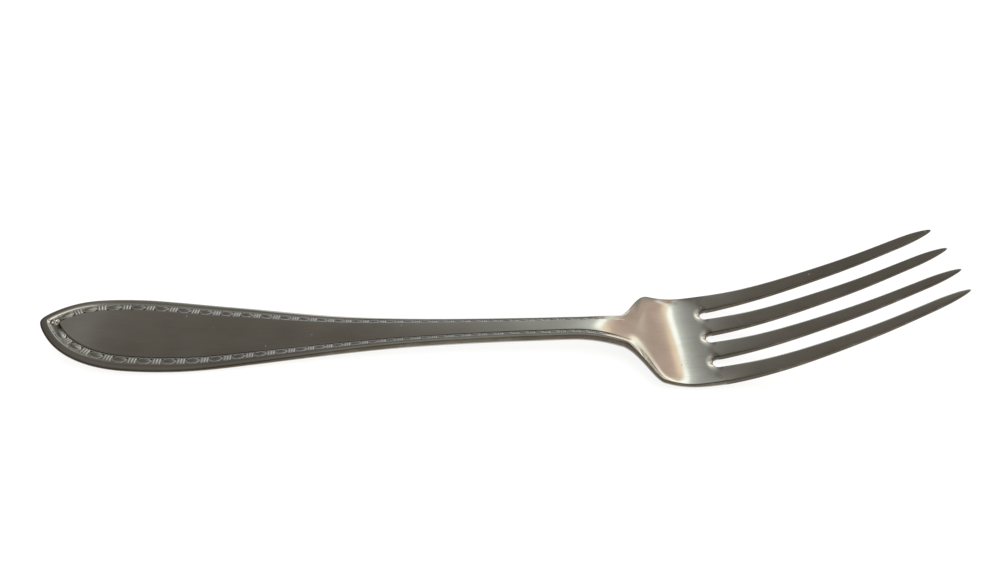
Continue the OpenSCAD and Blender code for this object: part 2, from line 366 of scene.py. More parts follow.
def head_rise(x, out):
    """Height of the head across it, from 0 in the middle to the dish at its edges. Between the
    shoulders and the gaps the middle is slightly crowned and the rise is kept to the edges."""
    palm = soft_step(x, *PALM_IN) * (1 - soft_step(x, *PALM_OUT))
    crown = PALM_CROWN * palm
    return (dish(x) + crown) * out ** (2 + PALM_SQUARENESS * palm) - crown * out**2


def front_at(x, y):
    """Front face without its border or edges: crowned on the handle, dished on the head."""
    out = outness(x, y)
    crown = PANEL_CROWN * border_fade(x)
    return front_z(x) + crown * (1 - out**2) + head_rise(x, out)


def back_at(x, y):
    """Back face: full thickness along the middle, rising to the edge."""
    crown = PANEL_CROWN * border_fade(x)
    rise = thickness(x) - crown - front_drop(x) - edge_t(x) + dish(x)
    return front_z(x) + crown - thickness(x) * lean(x) + rise * outness(x, y) ** BACK_POWER


# Tines
TINE_ROOT_W = (2 * half_width(TINE_X) - 3 * GAP_W) / 4
GAP_PITCH = TINE_ROOT_W + GAP_W


def to_tip(x):
    """Share of the way along the tines."""
    return (x - TINE_X) / (LENGTH - TINE_X)


def tine_w(x):
    """Width of a tine."""
    return blend(TINE_ROOT_W, TINE_TIP_W, to_tip(x))


def tine_middle(x, outer):
    """Middle line of an inner or outer tine, in plan."""
    inner_y = (blend(GAP_W, GAP_TIP_W, to_tip(x)) + tine_w(x)) / 2
    return half_width(x) - tine_w(x) / 2 if outer else inner_y


# Meshes
WELD_DECIMALS = 4
WALL_COLUMNS = 4


def weld(points, faces):
    """Joins points that coincide and drops the triangles that this closes up. Gives the number of
    the point that stays at each place, and the triangles between them."""
    keys = np.round(points, WELD_DECIMALS)
    _, first, index = np.unique(keys, axis=0, return_index=True, return_inverse=True)
    faces = index.reshape(-1)[faces]
    real = (faces != np.roll(faces, 1, axis=1)).all(axis=1)
    return first, faces[real]


def grid_triangles(index):
    """Two triangles for each cell of a grid of point numbers."""
    a, b = index[:-1, :-1].ravel(), index[1:, :-1].ravel()
    c, d = index[1:, 1:].ravel(), index[:-1, 1:].ravel()
    return np.concatenate([np.stack([a, b, c], 1), np.stack([a, c, d], 1)])


class Shell:
    """Collects sheets of points, each a grid, into one welded, closed mesh with named values."""

    def __init__(self):
        self.points, self.faces, self.count = [], [], 0
        self.marks = {"satin": [], "tarnish_and_shade": []}

    def sheet(self, points, satin=0.0, tarnish_and_shade=0.0):
        """Adds a grid of points. Seen from outside, going up the row numbers and then up the
        column numbers is a turn to the left."""
        rows, columns = points.shape[:2]
        index = self.count + np.arange(rows * columns).reshape(rows, columns)
        self.points.append(points.reshape(-1, 3))
        for kind, mark in (("satin", satin), ("tarnish_and_shade", tarnish_and_shade)):
            self.marks[kind].append(np.broadcast_to(mark, (rows, columns)).ravel())
        self.faces.append(grid_triangles(index))
        self.count += rows * columns

    def make(self, name, material):
        """The finished piece, in the frame's metres, riding on the fork's only body."""
        points = np.concatenate(self.points)
        first, faces = weld(points, np.concatenate(self.faces))
        place = (points[first] + (box_low[0], 0, 0)) * MM
        mesh = bpy.data.meshes.new(name)
        mesh.from_pydata(place.tolist(), [], faces.tolist())
        for kind, marks in self.marks.items():
            mark = np.concatenate(marks)[first].astype(np.float32)
            mesh.attributes.new(kind, "FLOAT", "POINT").data.foreach_set("value", mark)
        mesh.polygons.foreach_set("use_smooth", np.ones(len(faces), bool))
        mesh.materials.append(material)
        mesh.update()
        piece = bpy.data.objects.new(name, mesh)
        bpy.context.scene.collection.objects.link(piece)
        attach(piece, "root")
        return piece


def upright(x, y, low, high):
    """A wall between two heights over a line in plan: a row for each place along the line."""
    u = np.linspace(0, 1, WALL_COLUMNS)
    z = low[:, None] * (1 - u) + high[:, None] * u
    return np.stack([x[:, None] + 0 * z, y[:, None] + 0 * z, z], 2)


# The fork's body
RIM_STEPS = np.array((0, 0.02, 0.06, 0.12, 0.2, 0.32, 0.46, 0.6, 0.74, 0.88, 1))
WALL_STEPS = np.array((0.33, 0.67, 1))
CHANNEL_STEPS = np.array((0.25, 0.5, 0.75, 1))
TINE_COLUMNS = 14
GAP_COLUMNS = 10
HALF_COLUMNS = 2 * TINE_COLUMNS + GAP_COLUMNS + GAP_COLUMNS // 2
PANEL_STEPS = HALF_COLUMNS - len(RIM_STEPS) + 1 - 2 * len(WALL_STEPS) - len(CHANNEL_STEPS)
END_ROWS = 48
HANDLE_ROWS = 225
PALM_ROWS = 89
PALM_CROWDING = 1.6
TINE_ROWS = 85
TIP_ROWS = 12
COLUMN_PULL = 1.8
COLUMN_SWITCH = 0.55
ROOT_BEND = 7
ON_OUTLINE = 0.999
BACK_SWITCH = 3
MOST_OF_HALF = 0.9
MOST_OF_THICKNESS = 0.45


def to_middle(x):
    """From the outline near the handle end, square to it, as far as the middle line: half the
    growth of the squared half width along x, and the half width back."""
    growth = (half_width(x + END_STEP) ** 2 - half_width(x) ** 2) / (2 * END_STEP)
    return np.stack([growth, -half_width(x)], -1)


def reach(x):
    """Length of that line. Columns that would cross the middle line stop on it."""
    return np.where(x < HANDLE_END, np.linalg.norm(to_middle(x), axis=-1), half_width(x))


def inward(x):
    """Direction in plan, square to the outline, that turns square to the fork at the neck."""
    side = np.stack([widening(x) * (1 - to_neck(x)), -np.ones_like(x)], -1)
    n = np.where((x < HANDLE_END)[..., None], to_middle(x), side)
    return n / np.linalg.norm(n, axis=-1, keepdims=True)


def border_insets(x):
    """Distances in from the outline of the border's columns, one row for each x."""
    rim, channel, wall = (width(x)[:, None] for width in (rim_w, channel_w, wall_w))
    return np.concatenate([rim * RIM_STEPS, rim + wall * WALL_STEPS,
                           rim + wall + (channel - 2 * wall) * CHANNEL_STEPS,
                           rim + channel - wall + wall * WALL_STEPS], 1)


def border_fall(x, inset):
    """Depth of the border below the panel: a convex rim, then a channel with sloping sides."""
    rim, channel = rim_w(x), channel_w(x)
    edge = front_drop(x) * np.clip(1 - inset / rim, 0, 1) ** 2
    wall = wall_w(x)
    sunk = smooth((inset - rim) / wall) - smooth((inset - rim - channel + wall) / wall)
    return edge + CHANNEL_DEPTH * border_fade(x) * sunk


def channel_shade(x, inset):
    """Painted shade in the channel, from none on the rim's side of it to full along the panel."""
    rim, channel = rim_w(x), channel_w(x)
    across = smooth((inset - rim - wall_w(x)) / (channel - wall_w(x)))
    return across * (inset < rim + channel) * border_fade(x)


def handle_columns(x):
    """Half a plan of the handle and neck: a border of fixed widths, then shares of the panel."""
    inset = np.minimum(border_insets(x), reach(x)[:, None])
    n, b = inward(x), half_width(x)
    px = x[:, None] + inset * n[:, :1]
    py = np.clip(b[:, None] + inset * n[:, 1:], 0, None)
    share = np.linspace(1, 0, PANEL_STEPS + 1)[1:]
    panel_x = np.broadcast_to(px[:, -1:], (len(x), len(share)))
    inset = np.concatenate([inset, inset[:, -1:] + (1 - share) * py[:, -1:]], 1)
    return np.concatenate([px, panel_x], 1), np.concatenate([py, py[:, -1:] * share], 1), inset


def root_columns():
    """Half a plan of the head's last row: tine, round gap bottom, tine, half a gap bottom. Gives y,
    and how far back from the tines' start each place lies."""
    tine_y = np.cos(np.linspace(0, np.pi, TINE_COLUMNS + 1)) * TINE_ROOT_W / 2
    turn = np.linspace(0, np.pi, GAP_COLUMNS + 1)
    outer, inner = 1.5 * GAP_PITCH, 0.5 * GAP_PITCH
    half_turn = turn[:GAP_COLUMNS // 2 + 1]
    y = np.concatenate([outer + tine_y, GAP_PITCH + GAP_W / 2 * np.cos(turn)[1:],
                        (inner + tine_y)[1:], GAP_W / 2 * np.cos(half_turn)[1:]])
    back = np.concatenate([0 * tine_y, GAP_W / 2 * np.sin(turn)[1:],
                           0 * tine_y[1:], GAP_W / 2 * np.sin(half_turn)[1:]])
    return y, back


def to_arc(x, y):
    """Distance from a place in the palm to the nearest round gap bottom."""
    near = [np.hypot(x - TINE_X, y - k * GAP_PITCH) for k in (-1, 0, 1)]
    return np.min(near, axis=0) - GAP_W / 2


def gap_bevel(x, y):
    """Soft hollow behind each round gap bottom, deepest at its apex."""
    fall = 0
    for k in (-1, 0, 1):
        distance = np.hypot(x - TINE_X, y - k * GAP_PITCH)
        facing = np.clip((TINE_X - x) / distance, 0, 1)
        near = np.clip(1 - (distance - GAP_W / 2) / GAP_BEVEL_W, 0, 1)
        fall = fall + GAP_BEVEL * near**GAP_BEVEL_POWER * facing
    return fall


def palm_columns(x):
    """Half a plan of the palm. Its columns start where the neck's end, and move over to the
    tines and gaps. The last rows bend back round the gap bottoms."""
    _, neck_y, _ = handle_columns(np.array([SHOULDER_X]))
    neck_share = neck_y[0] / neck_y[0, 0]
    root_y, back = root_columns()
    b = half_width(x)[:, None]
    pull = 1 + COLUMN_PULL * np.log(b / b[0])
    u = soft_step(x, SHOULDER_X, COLUMN_SWITCH * (TINE_X - SHOULDER_X))[:, None]
    y = b * ((1 - u) * neck_share**pull + u * root_y / root_y[0])
    bend = soft_step(x, TINE_X - ROOT_BEND, ROOT_BEND)[:, None]
    return x[:, None] - bend * back, y


def both_sides(half, mirrored=1):
    """A half plan, outline first, with its mirror image: from +y across to -y. The mirror image
    is taken times 1, or times -1 for y itself."""
    return np.concatenate([half, mirrored * half[:, -2::-1]], 1)


def tine_crown(x, y):
    """Each tine starts with a soft round shoulder on the palm and is slightly crowned across."""
    rise = 0
    for outer in (False, True):
        middle = tine_middle(np.maximum(x, TINE_X), outer)
        across = (np.abs(y) - middle) / (tine_w(np.maximum(x, TINE_X)) / 2)
        start = GAP_BOTTOM_X - CROWN_SETBACK + CROWN_ROUND * np.clip(across, -1, 1) ** 2
        body = soft_step(x, start, CROWN_LENGTH) * np.clip(1 - across**2, 0, 1)
        rise = rise + TINE_CROWN * body
    return rise


def plan_to_faces(x, y, fall, edge_inset):
    """Front and back heights over a plan, with small rounds along both edges."""
    front = front_at(x, y) - fall - quarter_round(edge_inset, FRONT_EDGE_R)
    front = front + tine_crown(x, y) - gap_bevel(x, y)
    back = np.maximum(back_at(x, y) + quarter_round(edge_inset, BACK_EDGE_R), 0)
    return front, back


def fork_body(material):
    """The whole fork as one closed mesh. A front and a back sheet share one plan from the handle
    end to the gap bottoms. Walls join them along the outline and round the gap bottoms, and four
    closed-ended tubes carry on as the tines."""
    shell = Shell()
    turn = np.linspace(0, np.pi / 2, END_ROWS + 1)[:-1]
    handle_x = np.concatenate([HANDLE_END * (1 - np.cos(turn)),
                               np.linspace(HANDLE_END, SHOULDER_X, HANDLE_ROWS)])
    run = np.linspace(0, 1, PALM_ROWS + 1)[1:]
    palm_x = SHOULDER_X + (TINE_X - SHOULDER_X) * (1 - (1 - run) ** PALM_CROWDING)
    hx, hy, inset = handle_columns(handle_x)
    px, py = palm_columns(palm_x)
    neck_inset = inset[-1]
    handle_rows, palm_rows = handle_x[:, None], palm_x[:, None]
    palm_half = half_width(palm_rows)
    palm_fall = border_fall(palm_rows, neck_inset)
    palm_fall = np.where(py / palm_half > ON_OUTLINE, front_drop(palm_rows), palm_fall)
    palm_inset = (palm_half - py) / np.sqrt(1 + widening(palm_rows) ** 2)
    palm_inset = np.minimum(palm_inset, np.clip(to_arc(px, py), 0, None))
    x = both_sides(np.concatenate([hx, px]))
    y = both_sides(np.concatenate([hy, py]), -1)
    fall = both_sides(np.concatenate([border_fall(handle_rows, inset), palm_fall]))
    edge = both_sides(np.concatenate([inset, palm_inset]))
    front, back = plan_to_faces(x, y, fall, edge)
    dark = both_sides(np.concatenate([channel_shade(handle_rows, inset),
                                      channel_shade(palm_rows, neck_inset)]))
    # Painted dark reflection: the colour is painted darker in from the outline, and painted shade
    # along the channel beside the panel
    edge_shade_w = blend(EDGE_SHADE * rim_w(x), HEAD_EDGE_SHADE_W, to_head(x))
    tarnish_and_shade = np.maximum(1 - smooth(edge / edge_shade_w), dark)
    shell.sheet(np.stack([x, y, front], 2)[::-1], tarnish_and_shade=tarnish_and_shade[::-1])
    shell.sheet(np.stack([x, y, back], 2))
    # The outer walls are painted dark, a painted dark reflection
    for column in (0, -1):
        wall = upright(x[:, column], y[:, column], back[:, column], front[:, column])
        shell.sheet(wall if column else wall[::-1], tarnish_and_shade=WALL_SHADE)
    # The walls round the gap bottoms are painted fully dark, a painted dark reflection
    for gap in range(3):
        start = (gap + 1) * TINE_COLUMNS + gap * GAP_COLUMNS
        part = slice(start, start + GAP_COLUMNS + 1)
        wall = upright(x[-1, part], y[-1, part], back[-1, part], front[-1, part])
        shell.sheet(wall[::-1], tarnish_and_shade=1.0)
    for outer, side in ((True, 1), (False, 1), (False, -1), (True, -1)):
        tine(shell, outer, side)
    return shell.make("fork_body", material)


def tine(shell, outer, side):
    """One tine: rings of front, wall, back and wall along its middle line, closing at the tip."""
    tip_x = LENGTH - (OUTER_SETBACK if outer else 0)
    turn = np.linspace(0, np.pi / 2, TIP_ROWS + 1)
    x = np.concatenate([np.linspace(TINE_X, tip_x - TIP_ROUND, TINE_ROWS + 1)[:-1],
                        tip_x - TIP_ROUND + TIP_ROUND * np.sin(turn)])
    end = np.clip(1 - (tip_x - x) / TIP_ROUND, 0, 1)
    keep = np.sqrt(1 - end**2)
    across = np.cos(np.linspace(0, np.pi, TINE_COLUMNS + 1))
    half = tine_w(x) / 2 * keep
    y = tine_middle(x, outer)[:, None] + half[:, None] * across
    grid_x = np.broadcast_to(x[:, None], y.shape)
    full_t = blend(TINE_T, TINE_TIP_T, to_tip(x)) * lean(x)
    t = full_t * (1 + keep) / 2 * np.sqrt(keep)
    sink = (full_t - t)[:, None] / 2
    most = MOST_OF_THICKNESS * t + 1e-4
    growth = (x - TINE_X) / EDGE_GROWTH
    front_r = np.minimum(blend(FRONT_EDGE_R, TINE_EDGE_ROUND, growth), most)
    front_r = np.minimum(front_r, MOST_OF_HALF * np.maximum(half, 1e-3))[:, None]
    back_r = np.minimum(blend(BACK_EDGE_R, TINE_EDGE_ROUND, growth), most)[:, None]
    edge = half[:, None] * (1 - np.abs(across))
    face = front_z(grid_x) + head_rise(grid_x, y / half_width(grid_x))
    crown = tine_crown(grid_x, y) * keep[:, None]
    u = soft_step(x, TINE_X, BACK_SWITCH)[:, None]
    bottom = back_at(grid_x, y) * (1 - u) + (face - t[:, None]) * u
    front = face + crown - sink - quarter_round(edge, front_r)
    back = bottom - sink + quarter_round(edge, back_r)
    closed = (end >= 1)[:, None]
    middle = (front + back) / 2
    front, back = np.where(closed, middle, front), np.where(closed, middle, back)
    # Painted dark reflection: each tine's colour is darker towards its edges, and its walls are
    # painted dark
    edge_shade = 1 - smooth(edge / TINE_EDGE_SHADE_W)
    left, right = (upright(x, y[:, column], back[:, column], front[:, column])
                   for column in (0, -1))
    wall_shade = np.full(left.shape[:2], TINE_WALL_SHADE)
    sheets = ((np.stack([grid_x, y, front], 2), edge_shade),
              (np.stack([grid_x, y, back], 2)[::-1], edge_shade[::-1]),
              (left, wall_shade), (right[::-1], wall_shade))
    turned = slice(None, None, -side)
    for sheet, tarnish_and_shade in sheets:
        shell.sheet((sheet * (1, side, 1))[turned], tarnish_and_shade=tarnish_and_shade[turned])


# The border's ornament
# Distance along the border, and the length of a repeat there
PITCHES = ((0, 3.9), (6, 4.3), (12, 4.75), (22, 4.9), (36, 4.65), (48, 4.35), (56, 3.95),
           (70, 3.75), (88, 3.55), (100, 3.35), (118, 3.1))
FIRST_BEAD = 3.35
BEADS = 30
SIDE_SHIFT = 0.55
SHIFT_FADE = (40, 60)
END_WEAR = 0.45
WEAR_FADE = (8, 40)

# Rises in millimetres. Places and widths are shares of the half width across the ornament, and of
# a repeat along it.
BEAD_SHARE = 0.3
BEAD_HALF = 0.8
BEAD_FILL = 0.86
BEAD_RISE = 0.24
BEAD_LINE_W = 0.17
BEAD_LINE_RISE = 0.17
BEAD_LINE_END = 0.32
BEAD_LINE_SOFT = 0.03
BAR_RISE = 0.18
BAR_SHARE = 0.125
BAR_HALF = 0.045
BAR_END = 0.6
BAR_END_SOFT = 0.2
CUSHION_RISE = 0.1
CUSHION_HALF = 0.2
CORD_RISE = 0.12
CORD_PLACE = 0.9
CORD_HALF = 0.09
CREVICE_RISE = 0.1
SLOT_RISE = 0.05
GROUND_SOFT = 0.05
BAR_FOOT = 0.3
BAR_TOP = 0.8

# How satin its parts are, and how much darker its low ground and slots are coloured
BAR_SATIN = 0.75
LINE_SATIN = 0.85
GROUND_SATIN = 0.58
CREVICE_DARKENING = 0.2
SLOT_DARKENING = 0.25

# The ribbons that carry it
OVER_BEAD = 0.35
BEAD_ROWS = 20
BAR_ROWS = 27
RIBBON_COLUMNS = 23
RIBBON_CLEARANCE = 0.8
RIBBON_SINK = 0.02
RIBBON_T = 0.2
PITCH_STEP = 0.05
LINE_ROWS = 400

# The rosette
ROSETTE_X = 2.75
ROSETTE_RINGS = 19
ROSETTE_SPOKES = 61
PETALS = 5
PETAL_RISE = 0.34
PETAL_CLEFT = 0.38
PETAL_POWER = 0.8
EYE_RADIUS = 0.3
EYE_RISE = 0.3
# How much darker the rosette is coloured where it is low, and the rise below which that sets in
ROSETTE_DARKENING = 0.7
ROSETTE_CREVICE = 0.12


def border_line():
    """Middle line of the channel on one side, in plan, with the distance along it: the outline
    moved in by the rim and half the channel, from where the two sides meet."""
    turn = np.linspace(0, np.pi / 2, LINE_ROWS)[:-1]
    x = np.concatenate([HANDLE_END * (1 - np.cos(turn)),
                        np.arange(HANDLE_END, BORDER_END, FINE_STEP)])
    inset = rim_w(x) + channel_w(x) / 2
    x, inset = x[reach(x) > inset], inset[reach(x) > inset]
    n = inward(x)
    line = np.stack([x + inset * n[:, 0], half_width(x) + inset * n[:, 1]], 1)
    step = np.linalg.norm(np.diff(line, axis=0), axis=1)
    return np.concatenate([[0], np.cumsum(step)]), line, n, channel_w(x)


def bead_place(turns, side):
    """Distance along the border for a number of repeats after the first bead: the pitch, which
    changes along the handle, added up. The two sides run slightly out of step at the wide end."""
    s = np.arange(0, BORDER_END, PITCH_STEP)
    count = np.concatenate([[0], np.cumsum(PITCH_STEP / curve(PITCHES, s[:-1]))])
    place = np.interp(turns + np.interp(FIRST_BEAD, s, count), count, s)
    return place - side * SIDE_SHIFT * (1 - soft_step(place, *SHIFT_FADE))


def bump_at(value, place, half):
    """A parabola that is 1 at a place, 0 a half width to either side, and 0 beyond."""
    return np.clip(1 - ((value - place) / half) ** 2, 0, 1)


def ornament(u, t):
    """Relief over a repeat: u runs along it from -0.5 to 0.5 and t across it from -1 to 1. An almond
    bead, |t| < b (1 - (u / a)^2), is a polished dome inside a thin raised line. Three satin bars
    stand on a low cushion between one bead and the next, a thin cord runs along both sides, and the
    ground is matt. Gives the rise, how satin it is, and how much darker it is coloured on the low
    ground and in the slots beside the bars."""
    along_u, across_t = np.abs(u), np.abs(t)
    almond = BEAD_HALF * bump_at(u, 0, BEAD_SHARE)
    q = across_t / np.maximum(BEAD_FILL * almond, 1e-3)
    dome = BEAD_RISE * np.sqrt(bump_at(q, 0, 1)) * np.sqrt(almond / BEAD_HALF)
    line_end = smooth((BEAD_LINE_END - along_u) / BEAD_LINE_SOFT)
    line = BEAD_LINE_RISE * bump_at(across_t, almond, BEAD_LINE_W) * line_end
    past_bead = np.sign(u) * (along_u - 0.5)
    bar = np.max([bump_at(past_bead, k * BAR_SHARE, BAR_HALF) for k in (-1, 0, 1)], axis=0)
    bar = bar * (1 - soft_step(across_t, BAR_END, BAR_END_SOFT))
    cushion = CUSHION_RISE * bump_at(along_u, 0.5, CUSHION_HALF) * (1 - t**2)
    bars = cushion + (BAR_RISE - CUSHION_RISE) * np.sqrt(bar)
    cord = CORD_RISE * np.sqrt(bump_at(across_t, CORD_PLACE, CORD_HALF))
    rise = np.maximum(np.maximum(dome, line), np.maximum(bars, cord))
    # The colour is darker where the relief is low and in the slots between the bars
    crevice = 1 - smooth(rise / CREVICE_RISE)
    ground = soft_step(across_t, almond, GROUND_SOFT)
    slot = smooth(cushion / SLOT_RISE) * (1 - smooth(bar / BAR_FOOT))
    satin = np.maximum(BAR_SATIN * smooth(bar / BAR_TOP), GROUND_SATIN * ground)
    satin = np.maximum(satin, LINE_SATIN * smooth(line / BEAD_LINE_RISE))
    return rise, satin, np.maximum(CREVICE_DARKENING * crevice, SLOT_DARKENING * slot)


def border_side(name, side, material):
    """One side's ornament: a closed ribbon laid in the channel, its sides just inside the walls."""
    s, line, normal, width = border_line()
    over_bead = np.linspace(-OVER_BEAD, OVER_BEAD, BEAD_ROWS)
    over_bars = np.linspace(OVER_BEAD, 1 - OVER_BEAD, BAR_ROWS + 2)[1:-1]
    turns = (np.arange(BEADS)[:, None] + np.concatenate([over_bead, over_bars])).ravel()
    turns = turns[:-BAR_ROWS]
    row_s = bead_place(turns, side)
    middle_x, middle_y, across_x, across_y, full = (
        np.interp(row_s, s, given)[:, None] for given in (*line.T, *normal.T, width))
    half = full / 2 * (1 - RIBBON_CLEARANCE * CHANNEL_WALL_W / CHANNEL_W)
    t = np.linspace(-1, 1, RIBBON_COLUMNS)
    x = middle_x + across_x * half * t
    y = middle_y + across_y * half * t
    rise, satin, tarnish_and_shade = ornament((turns - np.round(turns))[:, None], t)
    satin = satin * blend(END_WEAR, 1, soft_step(x, *WEAR_FADE))
    fade = border_fade(x)
    floor_z = front_at(x, y) - CHANNEL_DEPTH * fade - RIBBON_SINK
    shell = Shell()
    top = np.stack([x, y * side, floor_z + rise * fade], 2)
    under = np.stack([x, y * side, floor_z - RIBBON_T], 2)
    turned = slice(None, None, -side)
    shell.sheet(top[turned], satin[turned], tarnish_and_shade[turned])
    shell.sheet(under[::-1][turned])
    for a, b in ((top[:, 0], under[:, 0]), (under[:, -1], top[:, -1])):
        shell.sheet(np.stack([a, b], 1)[::-1][turned])
    for a, b in ((under[0], top[0]), (top[-1], under[-1])):
        shell.sheet(np.stack([a, b], 0)[turned])
    return shell.make(name, material)


def end_rosette(material):
    """The knot where the two borders meet at the handle end: polished petals round a domed eye.
    A petal rises as half a sine wave from the middle out to the edge, at r = 1, and the petals
    part as the cosine of the turn."""
    r = np.linspace(0, 1, ROSETTE_RINGS)[:, None]
    turn = np.linspace(0, 2 * np.pi, ROSETTE_SPOKES)
    parting = 1 - PETAL_CLEFT * (1 - np.cos(PETALS * turn))
    petals = PETAL_RISE * np.sin(np.pi * r**PETAL_POWER) * parting
    eye = EYE_RISE * np.sqrt(bump_at(r, 0, EYE_RADIUS))
    rise = np.maximum(petals, eye)
    radius = CHANNEL_W / 2
    x = ROSETTE_X + radius * r * np.cos(turn)
    y = radius * r * np.sin(turn)
    floor_z = front_at(x, y) - CHANNEL_DEPTH - RIBBON_SINK
    top = np.stack([x, y, floor_z + rise], 2)
    under = np.stack([x, y, floor_z - RIBBON_T], 2)
    shell = Shell()
    # The rosette's colour is darker where it is low
    shell.sheet(top, tarnish_and_shade=ROSETTE_DARKENING * (1 - smooth(rise / ROSETTE_CREVICE)))
    shell.sheet(under[::-1])
    shell.sheet(np.stack([top[-1], under[-1]], 0))
    return shell.make("border_rosette", material)


# Materials
def add(tree, kind, **values):
    """A node with some of its own settings."""
    made = tree.nodes.new(kind)
    for key, value in values.items():
        setattr(made, key, value)
    return made


def feed(tree, socket, value):
    """Links a socket to another node's output, or sets it to a plain value."""
    if isinstance(value, bpy.types.NodeSocket):
        tree.links.new(value, socket)
    else:
        socket.default_value = value


def math(tree, operation, a, b=0.0):
    """One sum, product or other operation on two values."""
    made = add(tree, "ShaderNodeMath", operation=operation)
    feed(tree, made.inputs[0], a)
    feed(tree, made.inputs[1], b)
    return made.outputs[0]


def ramp(tree, value, start, end, low=0.0, high=1.0):
    """A soft step of a value, from low at start to high at end."""
    made = add(tree, "ShaderNodeMapRange", interpolation_type="SMOOTHSTEP")
    sockets = (("Value", value), ("From Min", start), ("From Max", end), ("To Min", low),
               ("To Max", high))
    for socket, given in sockets:
        feed(tree, made.inputs[socket], given)
    return made.outputs["Result"]


def between(tree, value, low, low_soft, high, high_soft):
    """1 between two edges of a value and 0 outside them, each edge with its own softness."""
    above = ramp(tree, value, low - low_soft, low + low_soft)
    below = ramp(tree, value, high - high_soft, high + high_soft, 1.0, 0.0)
    return math(tree, "MULTIPLY", above, below)


def mix(tree, factor, a, b):
    """Colour a where the factor is 0, colour b where it is 1. A Mix node takes its colours by
    number: inputs 6 and 7, output 2."""
    made = add(tree, "ShaderNodeMix", data_type="RGBA")
    feed(tree, made.inputs["Factor"], factor)
    feed(tree, made.inputs[6], a)
    feed(tree, made.inputs[7], b)
    return made.outputs[2]


def noise(tree, place, scale, turn=0.0, detail=2.0):
    """Noise with its own number of features a metre along x, y and z, turned about z first."""
    mapping = add(tree, "ShaderNodeMapping", vector_type="TEXTURE")
    feed(tree, mapping.inputs["Vector"], place)
    mapping.inputs["Rotation"].default_value = (0, 0, np.radians(turn))
    mapping.inputs["Scale"].default_value = [1 / k for k in scale]
    texture = add(tree, "ShaderNodeTexNoise")
    feed(tree, texture.inputs["Vector"], mapping.outputs[0])
    texture.inputs["Scale"].default_value = 1
    texture.inputs["Detail"].default_value = detail
    return texture.outputs["Fac"]


# Features a metre along x, y and z, or in every direction
LINE_SCALE = (120, 5200, 1200)
SCRATCH_SCALE = (2600, 110, 110)
SPECK_SCALE = 420
CLOUD_SCALE = (90, 160, 160)
GRIME_SCALE = (700, 900, 900)
# Turn of each set of scratches in degrees, and the noise at which they start
SCRATCHES = ((24, 0.73), (-31, 0.75), (66, 0.74))
SCRATCH_EDGE = 0.05
SCRATCH_DEPTH = 0.3
SPECK_PICK = (0.6, 0.75)
SPECK_RADIUS = (0.05, 0.08)
SPECK_SATIN = 0.8
CLOUD_RANGE = (0.35, 0.75)
CLOUD_DARK = 0.16
GRIME_RANGE = (0.2, 0.6)
GRIME_LEAST = 0.92
LINE_SHADE = 0.5
MARK_LIGHT = 0.3
SATIN_MATT = 0.6
SATIN_ROUGH = 0.28
TARNISH_AND_SHADE_ROUGH = 0.12
MARK_ROUGH = 0.25
LINE_ROUGH = 0.3
LINE_HEIGHT = 0.4
GRAIN_HEIGHT = 2.0
BUMP_STRENGTH = 0.35
BUMP_DISTANCE = 0.00001
STEEL_INPUTS = (("Steel", "Color"), ("Satin", "Color"), ("Tarnish_and_shade", "Color"), ("Polish", "Float"),
                ("Lines", "Float"), ("Scratches", "Float"))
STEEL_OUTPUTS = (("Color", "Color"), ("Metallic", "Float"), ("Roughness", "Float"),
                 ("Normal", "Vector"))


